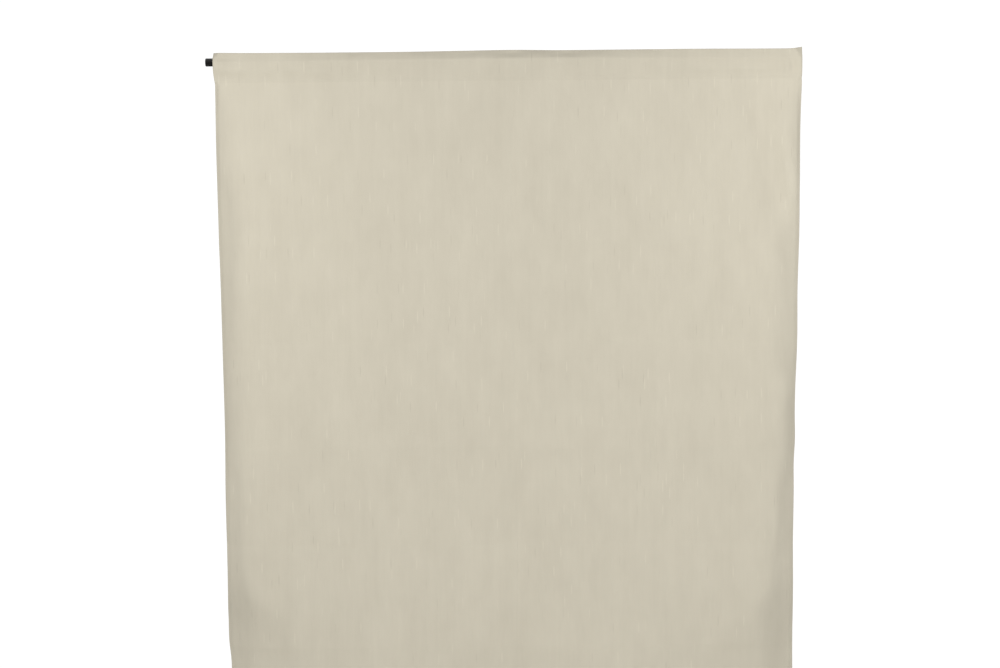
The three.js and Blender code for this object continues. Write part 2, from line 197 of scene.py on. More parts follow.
# The line of the pressed crease above the rod: it leans to the room at both ends
CREASE_LINE = [
    dict(x=-0.660, y=-0.0062, z=0.0208),
    dict(x=-0.590, y=-0.0066, z=0.0197),
    dict(x=-0.500, y=-0.0056, z=0.0194),
    dict(x=-0.400, y=-0.0034, z=0.0194),
    dict(x=-0.225, y=-0.0018, z=0.0198),
    dict(x=-0.100, y=-0.0002, z=0.0211),
    dict(x=0.011, y=0.0016, z=0.0224),
    dict(x=0.110, y=0.0008, z=0.0209),
    dict(x=0.240, y=-0.0018, z=0.0207),
    dict(x=0.340, y=-0.0044, z=0.0206),
    dict(x=0.435, y=-0.0060, z=0.0205),
    dict(x=0.600, y=-0.0072, z=0.0195),
    dict(x=0.635, y=-0.0074, z=0.0200),
    dict(x=0.660, y=-0.0070, z=0.0239),
]

# Creases left by packing, level and upright: a ridge towards the room is positive
LEVEL_CREASES = [
    dict(z=-0.170, from_x=-0.66, to_x=-0.25, rise=0.0006),
    dict(z=-0.262, from_x=-0.66, to_x=-0.28, rise=-0.0009),
    dict(z=-0.404, from_x=-0.66, to_x=0.66, rise=0.0014),
    dict(z=-0.635, from_x=-0.66, to_x=0.66, rise=-0.0013),
    dict(z=-0.873, from_x=-0.66, to_x=0.66, rise=0.0014),
    dict(z=-1.096, from_x=-0.66, to_x=0.66, rise=-0.0012),
    dict(z=-1.330, from_x=-0.66, to_x=0.66, rise=0.0013),
    dict(z=-1.565, from_x=-0.66, to_x=0.66, rise=-0.0013),
    dict(z=-1.800, from_x=-0.66, to_x=0.66, rise=0.0013),
]
UPRIGHT_CREASES = [
    dict(x=0.011, from_z=-0.05, to_z=BOTTOM_Z, rise=-0.0016),
    dict(x=0.332, from_z=-0.38, to_z=-0.90, rise=-0.0009),
    dict(x=-0.331, from_z=-0.55, to_z=-1.10, rise=-0.0005),
]
CREASE_REACH = 0.018
CREASE_TIP = 0.002
CREASE_FADE = 0.10

# How a crease wanders to both sides of its line: how far, in waves of how many radians a metre, and
# how much further on in its wave a crease is that lies a metre away
LEVEL_WANDER = dict(far=0.004, waves=7, shift=40)
UPRIGHT_WANDER = dict(far=0.003, waves=5, shift=30)

# Soft ripples of the cloth below the pocket: their size across and down, and how far they rise
RIPPLES = [
    dict(across=0.09, down=0.55, seed=1.5, rise=0.0022),
    dict(across=0.028, down=0.12, seed=7.5, rise=0.0007),
]
RIPPLE_GROWTH = 0.02

# Small gathers along the pocket's seam. Waves are in radians a metre
GATHER_RISE = 0.0004
GATHER_REACH = 0.012
GATHER_WAVES = 170
GATHER_WAVES_DRIFT = 31
FINE_GATHER_WAVES = 287

# Where the front of the pocket stands out from the straight way down to its seam, or sinks in. Such
# a pucker leans: it moves to the right by PUCKER_LEAN for each metre down
PUCKER_LEAN = 0.25
PUCKERS = [
    dict(x=-0.6585, z=0.004, half_width=0.004, half_height=0.040, out=0.0012),
    dict(x=-0.636, z=-0.016, half_width=0.019, half_height=0.014, out=0.0062),
    dict(x=-0.602, z=-0.018, half_width=0.020, half_height=0.013, out=0.0036),
    dict(x=-0.541, z=-0.022, half_width=0.020, half_height=0.012, out=0.0034),
    dict(x=-0.492, z=-0.019, half_width=0.010, half_height=0.010, out=0.0026),
    dict(x=-0.474, z=-0.020, half_width=0.020, half_height=0.010, out=0.0022),
    dict(x=-0.420, z=-0.026, half_width=0.030, half_height=0.012, out=0.0024),
    dict(x=-0.343, z=0.0165, half_width=0.008, half_height=0.003, out=-0.0014),
    dict(x=-0.330, z=0.010, half_width=0.030, half_height=0.005, out=0.0007),
    dict(x=-0.279, z=-0.019, half_width=0.014, half_height=0.010, out=0.0018),
    dict(x=-0.196, z=0.010, half_width=0.040, half_height=0.006, out=0.0010),
    dict(x=-0.084, z=0.015, half_width=0.010, half_height=0.004, out=-0.0015),
    dict(x=-0.081, z=-0.026, half_width=0.012, half_height=0.006, out=0.0016),
    dict(x=-0.060, z=0.009, half_width=0.022, half_height=0.005, out=0.0010),
    dict(x=0.012, z=0.015, half_width=0.022, half_height=0.006, out=-0.0018),
    dict(x=0.006, z=-0.016, half_width=0.012, half_height=0.010, out=0.0012),
    dict(x=0.062, z=0.011, half_width=0.024, half_height=0.006, out=0.0012),
    dict(x=0.134, z=0.014, half_width=0.024, half_height=0.005, out=-0.0014),
    dict(x=0.118, z=-0.010, half_width=0.028, half_height=0.004, out=0.0008),
    dict(x=0.205, z=0.009, half_width=0.030, half_height=0.006, out=0.0010),
    dict(x=0.300, z=0.010, half_width=0.024, half_height=0.006, out=0.0009),
    dict(x=0.338, z=0.017, half_width=0.007, half_height=0.004, out=-0.0016),
    dict(x=0.347, z=-0.022, half_width=0.012, half_height=0.010, out=0.0018),
    dict(x=0.386, z=-0.018, half_width=0.014, half_height=0.016, out=0.0026),
    dict(x=0.446, z=-0.026, half_width=0.024, half_height=0.009, out=0.0026),
    dict(x=0.506, z=-0.024, half_width=0.014, half_height=0.010, out=0.0024),
    dict(x=0.530, z=-0.004, half_width=0.008, half_height=0.010, out=0.0018),
    dict(x=0.556, z=-0.026, half_width=0.034, half_height=0.008, out=0.0024),
    dict(x=0.625, z=-0.018, half_width=0.0075, half_height=0.016, out=0.0045),
    dict(x=0.639, z=-0.020, half_width=0.0075, half_height=0.016, out=-0.0030),
]

# Where the cloth's mesh is divided across, measured from its side edges, and round its creases
EDGE_STATIONS = [
    0, 0.0002, 0.0006, 0.0012, 0.003, 0.006, 0.0094, 0.0105, 0.0116, 0.0120, 0.0128, 0.0145, 0.018
]
SIDE_START = 0.022
SIDE_STEP = 0.006
SIDE_ZONE = 0.140
MIDDLE_STEP = 0.0105
CREASE_STATIONS = [-0.012, -0.006, -0.003, -0.001, 0, 0.001, 0.003, 0.006, 0.012]
CLEAR_OF_CREASE = 0.003

# Where it is divided from the bottom edge up, round its creases, and down from the seam
HEM_ROWS = [
    0, 0.0002, 0.0006, 0.0012, 0.010, 0.024, 0.040, 0.056, 0.068, 0.0715, 0.0725, 0.0735, 0.0750, 0.0758
]
ROW_STEP = 0.0125
CREASE_ROWS = [-0.011, -0.0045, 0, 0.0045, 0.011]
SEAM_ROWS = [0.030, 0.022, 0.015, 0.010, 0.0065, 0.0045, 0.0038, 0.003, 0.0022, 0.0014, 0.0007]

# Where the pocket's wall is divided: as shares of the way up to the rod and on to the crease, and in
# steps round the rod and round the crease
LOWER_WALL_SHARES = (0.09, 0.16, 0.25, 0.36, 0.48, 0.60, 0.72, 0.84, 0.93)
UPPER_WALL_SHARES = (0.25, 0.5, 0.75)
ROD_ARC_POINTS = 8
CREASE_ARC_POINTS = 9

# Stitching
STITCH_PITCH = 0.0034
STITCH_LENGTH = 0.0027
THREAD_RADIUS = 0.00026
THREAD_SIDES = 6
STITCHES_BELOW_SEAM = 0.0011
STITCHES_IN_SIDE_HEM = 0.0015
STITCHES_IN_BOTTOM_HEM = 0.0025
STITCHES_OFF_EDGE = 0.002
SIDE_STITCHES_BELOW_LIP = 0.004

# One stitch in rows: the share of its length, then how thick it is and how far its middle line rises
# above the cloth, both for a thread with a radius of 1
STITCH_PROFILE = [
    (0.0, 0.45, -1.1),
    (0.16, 0.85, -0.6),
    (0.5, 1.0, -0.35),
    (0.84, 0.85, -0.6),
    (1.0, 0.45, -1.1),
]

# Colours: each material's dark and light one, with noise in between
LINEN_COLOURS = ((0.575, 0.530, 0.427, 1), (0.665, 0.618, 0.503, 1))
THREAD_COLOURS = ((0.56, 0.51, 0.40, 1), (0.70, 0.65, 0.53, 1))
PAINT_COLOURS = ((0.006, 0.006, 0.006, 1), (0.016, 0.014, 0.013, 1))
FLOOR_COLOURS = ((0.80, 0.80, 0.79, 1), (0.84, 0.84, 0.83, 1))
BLACK = (0, 0, 0, 1)
WHITE = (1, 1, 1, 1)

# Linen. A scale is patches in a metre along each axis, and tone is how much one lightens the cloth
TONE_START = -0.35
YARNS = dict(scale=(170, 40, 20), tone=0.26)
LINEN_NOISES = dict(
    streaks=dict(scale=(60, 10, 2), seed=5.7, detail=3, tone=0.34),
    mottle=dict(scale=(24, 20, 12), seed=2.9, detail=2, tone=0.62),
    patches=dict(scale=(7, 7, 4), seed=9.3, detail=3, tone=0.60),
)

# Slubs lie in places of their own, so many in a metre, and most of these places stay empty. A slub
# fades out between its edge and its middle, both as shares of such a place
SLUBS = dict(light=dict(seed=0, tone=0.90), dark=dict(seed=7.3, tone=-0.55))
SLUB_PLACES_ACROSS = 125
SLUB_PLACES_UP = 13
EMPTY_PLACES = 0.90
SLUB_EDGE = 0.22
SLUB_MIDDLE = 0.08

# Weave, and the painted shade where the cloth is doubled, for less light through two layers
WEAVE_PITCH = 0.0011
WEAVE_HEIGHT = 0.25
DOUBLED_PAINTED_SHADE = 0.022

# Paint: its least roughness, and how much more its worn patches have
PAINT_ROUGHNESS = 0.46
PAINT_ROUGHNESS_RANGE = 0.14

# Studio. A lamp is a softbox turned towards the window (1) or the room (-1)
LAMP_SIZE = 0.7
LAMPS = [
    dict(name="key_left", place=(-1.0, -1.3, -0.154), power=8.2, towards=1),
    dict(name="key_right", place=(1.0, -1.108, -0.134), power=6.3, towards=1),
    dict(name="low_left", place=(-0.5, -1.0, -1.4), power=1.35, towards=1),
    dict(name="low_right", place=(0.5, -1.0, -1.4), power=1.95, towards=1),
    dict(name="back_left", place=(1.7, 2.0, -0.3), power=16, towards=-1),
    dict(name="back_right", place=(-1.7, 2.0, -0.3), power=16, towards=-1),
]
AMBIENT = 0.89
AMBIENT_FROM_ROOM = 0.9
REFLECTED_CEILING = 1.5
BACKDROP = 1.05
FLOOR_DROP = 0.030
FLOOR_RADIUS = 2.5
FLOOR_SIDES = 96


def smooth(share):
    """Eases a share from 0 to 1."""
    s = np.clip(share, 0, 1)
    return s * s * (3 - 2 * s)


def table_value(rows, key, column, at):
    """Reads a column of a table at places between its rows, along a smooth curve through them."""
    ordered = sorted(rows, key=lambda row: row[key])
    place = np.array([row[key] for row in ordered])
    value = np.array([row[column] for row in ordered], float)
    last = len(place) - 1
    at = np.clip(at, place[0], place[last])
    i = np.clip(np.searchsorted(place, at) - 1, 0, last - 1)
    before, after = np.maximum(i - 1, 0), np.minimum(i + 2, last)
    span = place[i + 1] - place[i]
    share = (at - place[i]) / span
    leaving = (value[i + 1] - value[before]) / (place[i + 1] - place[before])
    arriving = (value[after] - value[i]) / (place[after] - place[i])
    return (
        value[i]
        + (value[i + 1] - value[i]) * smooth(share)
        + span * leaving * share * (1 - share) ** 2
        - span * arriving * share**2 * (1 - share)
    )


def turned_back(from_edge, turn, flat, radius):
    """How far a strip of cloth comes in and goes back where it turns back near its edge."""
    turn = np.radians(turn)
    angle = np.clip((flat + radius * turn - from_edge) / radius, 0, turn)
    past = np.maximum(0, flat - from_edge)
    came_in = radius * (angle - np.sin(angle)) + past * (1 - np.cos(turn))
    went_back = radius * (1 - np.cos(angle)) + past * np.sin(turn)
    return came_in, went_back


def hem_drop(u, z):
    """How far the outermost strip of a side hem drops back."""
    from_edge = HALF_WIDTH - np.abs(u)
    share = smooth((HEM_DROP_FROM - from_edge) / (HEM_DROP_FROM - HEM_DROP_TO))
    left, right = (table_value(HEM_DROPS, "z", side, z) for side in ("left", "right"))
    return share * np.where(u < 0, left, right) * smooth((SEAM_Z - z) / HEM_DROP_GROWTH)


def bend(from_edge, width):
    """A bend that is strongest at the side edge and has gone at a given width from it."""
    return np.maximum(0, 1 - from_edge / width) ** 2


def fold_rise(fold, u, z):
    """How far one soft fold stands out at points of the flat cloth."""
    (top_x, top_z), (end_x, end_z) = fold["top"], fold["end"]
    along = (top_z - z) / (top_z - end_z)
    centre = top_x + (end_x - top_x) * along
    across = np.exp(-(((u - centre) / fold["half_width"]) ** 2))
    grown = smooth((top_z - z) / fold["grow"])
    remaining = smooth((z - end_z) / fold["die"]) if fold["die"] else 1
    return fold["rise"] * across * grown * remaining


def crease_profile(distance):
    """A pressed crease in section: sharp at its tip, and gone a few centimetres away."""
    return np.exp(-(np.hypot(distance, CREASE_TIP) - CREASE_TIP) / CREASE_REACH)


def fades_between(at, low, high):
    """1 between two places, fading to 0 outside them."""
    return smooth((at - low) / CREASE_FADE + 1) * smooth((high - at) / CREASE_FADE + 1)


def wander_from_line(wander, along, line):
    """How far a crease is from its straight line, at places along it."""
    return wander["far"] * np.sin(along * wander["waves"] + line * wander["shift"])


soft_noise = np.vectorize(lambda x, z, seed: noise.noise(Vector((x, seed, z))), otypes=[float])


def relief(u, z):
    """The small unevenness of the hanging cloth: packing creases, seam gathers and soft ripples."""
    below_seam = smooth((SEAM_Z - z) / RIPPLE_GROWTH)
    risen = np.zeros(np.broadcast(u, z).shape)
    for crease in LEVEL_CREASES:
        wander = wander_from_line(LEVEL_WANDER, u, crease["z"])
        spread = fades_between(u, crease["from_x"], crease["to_x"])
        risen = risen + crease["rise"] * crease_profile(z - crease["z"] - wander) * spread
    for crease in UPRIGHT_CREASES:
        wander = wander_from_line(UPRIGHT_WANDER, z, crease["x"])
        spread = fades_between(z, crease["to_z"], crease["from_z"])
        risen = risen + crease["rise"] * crease_profile(u - crease["x"] - wander) * spread
    for ripple in RIPPLES:
        ripples = soft_noise(u / ripple["across"], z / ripple["down"], ripple["seed"])
        risen = risen + ripple["rise"] * ripples
    waves = np.sin(u * GATHER_WAVES + 2 * np.sin(u * GATHER_WAVES_DRIFT))
    gathers = GATHER_RISE * (waves + 0.5 * np.sin(u * FINE_GATHER_WAVES + 1))
    near_seam = np.exp(-np.abs(z - SEAM_Z) / GATHER_REACH)
    return risen * below_seam + gathers * near_seam


def hang(u, y, z):
    """Where points of the flat cloth hang: u lies across the panel, y in its thickness or pocket."""
    u, y, z = np.broadcast_arrays(u, y, z)
    came_in, went_back = [], []
    for edge, from_edge in ((LEFT_EDGE, HALF_WIDTH + u), (RIGHT_EDGE, HALF_WIDTH - u)):
        columns = ("draw_in", "turn", "flat", "radius", "bow")
        draw_in, turn, flat, radius, bow = (table_value(edge, "z", column, z) for column in columns)
        curled_in, curled_back = turned_back(from_edge, turn, flat, radius)
        came_in.append(draw_in * bend(from_edge, DRAW_IN_WIDTH) + curled_in)
        went_back.append(bow * bend(from_edge, BOW_WIDTH) + curled_back)
    risen = sum(fold_rise(fold, u, z) for fold in FOLDS) + relief(u, z) - hem_drop(u, z)
    return np.stack([u + came_in[0] - came_in[1], y + went_back[0] + went_back[1] - risen, z], axis=-1)


def doubled(u, z):
    """1 where the cloth is doubled, in the hems and where the pocket is sewn on, and 0 elsewhere."""
    side = smooth((SIDE_HEM + HEM_STEP - (HALF_WIDTH - np.abs(u))) / HEM_STEP)
    bottom = smooth((BOTTOM_Z + BOTTOM_HEM + HEM_STEP - z) / HEM_STEP)
    pocket = smooth((z - LIP_Z + HEM_STEP) / HEM_STEP)
    return np.maximum(np.maximum(side, bottom), pocket)


def roundness(from_edge):
    """The share of its thickness that the cloth keeps near a folded edge."""
    inside = np.clip(from_edge / (HEM_THICKNESS / 2), 0, 1)
    return np.maximum(np.sqrt(1 - (1 - inside) ** 2), LEAST_THICKNESS_SHARE)


def cloth_faces(u, z):
    """Points of the cloth's front and back face, and the way through from one to the other."""
    right, left = np.minimum(u + FACE_REACH, HALF_WIDTH), np.maximum(u - FACE_REACH, -HALF_WIDTH)
    across = hang(right, 0, z) - hang(left, 0, z)
    up = hang(u, 0, z + FACE_REACH) - hang(u, 0, z - FACE_REACH)
    through = np.cross(up, across)
    through /= np.linalg.norm(through, axis=-1, keepdims=True)
    full = CLOTH_THICKNESS + (HEM_THICKNESS - CLOTH_THICKNESS) * doubled(u, z)
    kept = full * roundness(HALF_WIDTH - np.abs(u)) * roundness(z - BOTTOM_Z)
    front = hang(u, -CLOTH_THICKNESS, z)
    slack = ((full - kept) / 2)[..., None]
    return front + through * slack, front + through * (full[..., None] - slack), through


def pocket_wall(u):
    """The pocket's wall in section at places across the panel, given as a column.

    It runs straight from the seam up to the rod, round the rod, straight on to the crease, round
    that, and the same way down the back. Gives its middle line's y and z, and its way out as an
    angle from straight down, by way of the room.
    """
    half = CLOTH_THICKNESS / 2
    round_rod = ROD_RADIUS + ROD_CLEARANCE + half
    low = np.arctan2(half, -SEAM_Z) + np.arccos(round_rod / np.hypot(half, SEAM_Z))
    crease_y, crease_z = (table_value(CREASE_LINE, "x", column, u) for column in "yz")
    crease_angle = pi + np.arctan2(crease_y, crease_z)
    bend_far = np.hypot(crease_y, crease_z) - half - CREASE_BEND
    spread = np.arccos((round_rod - CREASE_BEND) / bend_far)
    bend_y, bend_z = -bend_far * np.sin(crease_angle), -bend_far * np.cos(crease_angle)

    def side(sign):
        """One side of the wall, upwards: its y, z and angle at each place."""
        high = crease_angle + sign * spread
        lowest = 2 * pi - low if sign > 0 else low
        on_rod = len(LOWER_WALL_SHARES)
        below_rod = np.full((len(u), on_rod), lowest)
        round_it = lowest + (high - lowest) * np.linspace(0, 1, ROD_ARC_POINTS)
        angles = np.concatenate([below_rod, round_it], axis=1)
        y, z = -round_rod * np.sin(angles), -round_rod * np.cos(angles)
        for i, share in enumerate(LOWER_WALL_SHARES):
            eased = share**2 / (2 * SEAM_EASE) if share < SEAM_EASE else share - SEAM_EASE / 2
            y[:, i] = sign * half + (y[:, on_rod] - sign * half) * eased / (1 - SEAM_EASE / 2)
            z[:, i] = SEAM_Z + (z[:, on_rod] - SEAM_Z) * share
        meets_y, meets_z = bend_y - CREASE_BEND * np.sin(high), bend_z - CREASE_BEND * np.cos(high)
        up_y = y[:, -1:] + (meets_y - y[:, -1:]) * np.array(UPPER_WALL_SHARES)
        up_z = z[:, -1:] + (meets_z - z[:, -1:]) * np.array(UPPER_WALL_SHARES)
        up_angles = np.repeat(high, len(UPPER_WALL_SHARES), axis=1)
        return np.hstack([y, up_y]), np.hstack([z, up_z]), np.hstack([angles, up_angles])

    front, back = side(-1), side(1)
    over = crease_angle + spread * np.linspace(-1, 1, CREASE_ARC_POINTS)
    crease = (bend_y - CREASE_BEND * np.sin(over), bend_z - CREASE_BEND * np.cos(over), over)
    return [np.hstack([a, b, c[:, ::-1]]) for a, b, c in zip(front, crease, back)]


def pucker_rise(u, y, z):
    """How far the front of the pocket stands out, with its inner face kept off the rod."""
    risen = np.zeros(np.broadcast(u, z).shape)
    for pucker in PUCKERS:
        across = (u - pucker["x"] + PUCKER_LEAN * (z - pucker["z"])) / pucker["half_width"]
        down = (z - pucker["z"]) / pucker["half_height"]
        risen = risen + pucker["out"] * np.exp(-(across**2) - down**2)
    room = np.hypot(y, z) - ROD_RADIUS - CLOTH_THICKNESS / 2 - ROD_CLEARANCE / 2
    return np.maximum(risen, -room) * (y < 0)


def pocket_faces(u):
    """Points of the pocket wall's outer and inner face, for places across the panel."""
    places = u[:, None]
    y, z, angle = pocket_wall(places)
    half = CLOTH_THICKNESS / 2 * roundness(HALF_WIDTH - np.abs(places))
    risen = pucker_rise(places, y, z)
    out_y, out_z = -half * np.sin(angle), -half * np.cos(angle)
    return [hang(places, y + face * out_y - risen, z + face * out_z) for face in (1, -1)]


def panel_stations():
    """Places across the panel where its mesh is divided, from left to right."""
    edge = np.concatenate([EDGE_STATIONS, np.arange(SIDE_START, SIDE_ZONE, SIDE_STEP)])
    inner = HALF_WIDTH - SIDE_ZONE
    middle = np.linspace(-inner, inner, int(2 * inner / MIDDLE_STEP) + 1)
    creases = [crease["x"] + d for crease in UPRIGHT_CREASES for d in CREASE_STATIONS]
    middle = np.array([x for x in middle if min(abs(x - c) for c in creases) > CLEAR_OF_CREASE])
    stations = np.concatenate([edge - HALF_WIDTH, middle, creases, HALF_WIDTH - edge])
    return np.unique(np.round(stations, 5))


def panel_rows():
    """Heights at which the cloth's mesh is divided below the pocket, from the bottom edge up."""
    hem = BOTTOM_Z + np.array(HEM_ROWS)
    seam = SEAM_Z - np.array(SEAM_ROWS)
    even = np.linspace(hem[-1], seam[0], int((seam[0] - hem[-1]) / ROW_STEP))[1:-1]
    creases = [crease["z"] + d for crease in LEVEL_CREASES for d in CREASE_ROWS]
    even = np.array([z for z in even if min(abs(z - c) for c in creases) > CLEAR_OF_CREASE])
    return np.concatenate([hem, np.sort(np.concatenate([even, creases])), seam, [SEAM_Z]])


def grid_faces(low, high):
    """Quads between two grids' worth of point numbers, given as neighbouring rows."""
    return np.stack([low[:, :-1], high[:, :-1], high[:, 1:], low[:, 1:]], axis=-1).reshape(-1, 4)


def mesh_piece(name, points, faces, material, body="root"):
    """A mesh object from points and faces, shaded smooth, which moves with a body of the frame."""
    mesh = bpy.data.meshes.new(name)
    mesh.from_pydata(points, [], faces)
    mesh.validate()
    mesh.polygons.foreach_set("use_smooth", [True] * len(mesh.polygons))
    mesh.materials.append(material)
    piece = bpy.data.objects.new(name, mesh)
    bpy.context.scene.collection.objects.link(piece)
    if body:
        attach(piece, body)
    return piece


def make_cloth():
    """The cloth as one closed skin, with the pocket's channel running right through it."""
    across, heights = panel_stations(), panel_rows()
    u, z = np.meshgrid(across, heights, indexing="ij")
    front, back, _ = cloth_faces(u, z)
    outer, inner = pocket_faces(across)
    floor = hang(across, 0, SEAM_Z + LAYERS_PART_ABOVE_SEAM)[:, None]
    parts = [front, outer, back, floor, inner]
    starts = np.cumsum([0] + [part.shape[1] for part in parts])
    per_station = starts[-1]
    points = np.concatenate(parts, axis=1).reshape(-1, 3)
    first = np.arange(len(across))[:, None] * per_station
    front_i, outer_i, back_i, floor_i, inner_i = (
        first + np.arange(starts[n], starts[n + 1]) for n in range(len(parts))
    )
    outline = np.concatenate([front_i, outer_i, back_i[:, ::-1], front_i[:, :1]], axis=1)
    channel = np.concatenate([floor_i, inner_i, floor_i], axis=1)
    faces = [grid_faces(outline[:-1], outline[1:]), grid_faces(channel[1:], channel[:-1])]
    pocket = np.concatenate([front_i[:, -1:], outer_i, back_i[:, -1:]], axis=1)
    ends = []
    for end, turned in ((0, False), (-1, True)):
        for low, high in ((back_i[end], front_i[end]), (channel[end], pocket[end])):
            low, high = (high, low) if turned else (low, high)
            ends.append(grid_faces(low[None], high[None]))
        seam = (back_i[end, -1], front_i[end, -1], floor_i[end, 0])
        ends.append([seam[::-1] if turned else seam])
    quads = [tuple(map(int, face)) for block in faces + ends for face in block]
    cloth = mesh_piece("cloth", points.tolist(), quads, linen_material())
    # Where the cloth is doubled, for the linen's painted shade there
    below, seam = doubled(u, z), np.ones((len(across), 1))
    layers = [below, np.ones(outer.shape[:2]), below, seam, np.ones(inner.shape[:2])]
    shade = cloth.data.attributes.new("doubled", "FLOAT", "POINT")
    shade.data.foreach_set("value", np.concatenate(layers, axis=1).ravel())
    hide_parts("panel")
    return cloth


def make_stitches(name, starts, ends, outward):
    """Stitches as one mesh: each a rounded bar of thread that dips into the cloth at both ends."""
    along, radius, rise = np.array(STITCH_PROFILE).T
    turns = np.linspace(0, 2 * pi, THREAD_SIDES, endpoint=False)
    run = ends - starts
    sideways = np.cross(outward, run)
    sideways /= np.linalg.norm(sideways, axis=-1, keepdims=True)
    lift = outward[:, None] * (rise * THREAD_RADIUS)[:, None]
    centre = starts[:, None] + run[:, None] * along[:, None] + lift
    round_y, round_x = np.cos(turns)[:, None], np.sin(turns)[:, None]
    ring = (outward[:, None] * round_y + sideways[:, None] * round_x) * THREAD_RADIUS
    points = centre[:, :, None] + ring[:, None] * radius[:, None, None]
    first = np.arange(len(starts))[:, None, None] * len(along) * THREAD_SIDES
    number = first + np.arange(len(along))[:, None] * THREAD_SIDES + np.arange(THREAD_SIDES)
    wrapped = np.concatenate([number, number[:, :, :1]], axis=2)
    low, high = wrapped[:, :-1], wrapped[:, 1:]
    walls = np.stack([low[..., :-1], low[..., 1:], high[..., 1:], high[..., :-1]], axis=-1)
    caps = [row[0][::-1] for row in number.tolist()] + [row[-1] for row in number.tolist()]
    faces = [tuple(face) for face in walls.reshape(-1, 4).tolist()] + [tuple(cap) for cap in caps]
    stitches = mesh_piece(name, points.reshape(-1, 3).tolist(), faces, thread_material())
    return stitches


def stitch_row(u_from, z_from, u_to, z_to):
    """Starts, ends and ways out of the stitches between two points, on both faces of the cloth."""
    count = int(np.hypot(u_to - u_from, z_to - z_from) / STITCH_PITCH)
    begins = np.arange(count) / count
    finishes = begins + STITCH_LENGTH / STITCH_PITCH / count
    u0, u1 = (u_from + (u_to - u_from) * share for share in (begins, finishes))
    z0, z1 = (z_from + (z_to - z_from) * share for share in (begins, finishes))
    front0, back0, through = cloth_faces(u0, z0)
    front1, back1, _ = cloth_faces(u1, z1)
    starts = np.concatenate([front0, back0])
    finish = np.concatenate([front1, back1])
    return starts, finish, np.concatenate([-through, through])


def sew(name, rows):
    """One piece of stitching from several rows."""
    starts, ends, outward = (np.concatenate(part) for part in zip(*(stitch_row(*row) for row in rows)))
    return make_stitches(name, starts, ends, outward)


def make_stitching():
    """The rows of lockstitch: under the pocket, down both side hems and along the bottom hem."""
    seam = SEAM_Z - STITCHES_BELOW_SEAM
    hem_top = BOTTOM_Z + BOTTOM_HEM - STITCHES_IN_BOTTOM_HEM
    edge = HALF_WIDTH - STITCHES_OFF_EDGE
    side = HALF_WIDTH - SIDE_HEM + STITCHES_IN_SIDE_HEM
    top, bottom = LIP_Z - SIDE_STITCHES_BELOW_LIP, BOTTOM_Z + STITCHES_OFF_EDGE
    pocket = sew("pocket_stitching", [(-edge, seam, edge, seam)])
    sides = sew("side_hem_stitching", [(u, top, u, bottom) for u in (-side, side)])
    hem = sew("bottom_hem_stitching", [(-edge, hem_top, edge, hem_top)])
    return [pocket, sides, hem]


def make_rod():
    """The rod as a turned tube: its plain end, its chamfer and a plug set a little into it."""
    end = [
        (PLUG_SUNK, PLUG_RADIUS),
        (0.0, PLUG_RADIUS + PLUG_CHAMFER),
        (0.0, ROD_RADIUS - ROD_CHAMFER),
        (ROD_CHAMFER, ROD_RADIUS),
        (3 * ROD_CHAMFER, ROD_RADIUS),
    ]
    middle = np.linspace(ROD_LEFT, ROD_RIGHT, ROD_SPANS + 1)[1:-1]
    profile = [(ROD_LEFT + d, r) for d, r in end] + [(x, ROD_RADIUS) for x in middle]
    profile += [(ROD_RIGHT - d, r) for d, r in reversed(end)]
    turns = np.linspace(0, 2 * pi, ROD_SIDES, endpoint=False)
    points = [(x, -r * np.sin(a), r * np.cos(a)) for x, r in profile for a in turns]
    faces = []
    for band in range(len(profile) - 1):
        low, high = band * ROD_SIDES, (band + 1) * ROD_SIDES
        for i in range(ROD_SIDES):
            j = (i + 1) % ROD_SIDES
            faces.append((low + i, low + j, high + j, high + i))
    faces.append(tuple(range(ROD_SIDES))[::-1])
    faces.append(tuple((len(profile) - 1) * ROD_SIDES + i for i in range(ROD_SIDES)))
    rod = mesh_piece("rod_tube", points, faces, black_paint_material())
    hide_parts("rod")
    return rod


def set_inputs(tree, node, inputs):
    """Sets a node's inputs. Each is a value, or the output that it is linked to."""
    for name, value in inputs.items():
        if isinstance(value, bpy.types.NodeSocket):
            tree.links.new(value, node.inputs[name])
        else:
            node.inputs[name].default_value = value


def add_node(tree, kind, inputs=None, **settings):
    """Adds a node with its settings and inputs."""
    node = tree.nodes.new(kind)
    for name, value in settings.items():
        setattr(node, name, value)
    set_inputs(tree, node, inputs or {})
    return node


def calculate(tree, operation, *values):
    """The outcome of a sum on values or outputs."""
    return add_node(tree, "ShaderNodeMath", dict(enumerate(values)), operation=operation).outputs[0]


def blend(tree, share, first, second):
    """A colour that is the first where the share is 0, and the second where it is 1."""
    mix = add_node(tree, "ShaderNodeMix", {0: share, "A": first, "B": second}, data_type="RGBA")
    return mix.outputs[2]


def bump(tree, height, strength, distance):
    """The surface's direction with a small relief on it."""
    inputs = {"Height": height, "Strength": strength, "Distance": distance}
    return add_node(tree, "ShaderNodeBump", inputs).outputs["Normal"]


def stretched_noise(tree, place, scale, seed=0.0, detail=2.0):
    """Noise with its own number of patches in a metre along each axis."""
    inputs = {"Vector": place, "Scale": scale, "Location": (seed, 0, 0)}
    stretched = add_node(tree, "ShaderNodeMapping", inputs).outputs["Vector"]
    inputs = {"Vector": stretched, "Scale": 1.0, "Detail": detail}
    return add_node(tree, "ShaderNodeTexNoise", inputs).outputs["Fac"]


def new_material(name):
    """A material with nodes: the material, its tree, its shader, and the place on the object."""
    material = bpy.data.materials.new(name)
    material.use_nodes = True
    tree = material.node_tree
    place = add_node(tree, "ShaderNodeTexCoord").outputs["Object"]
    return material, tree, tree.nodes["Principled BSDF"], place


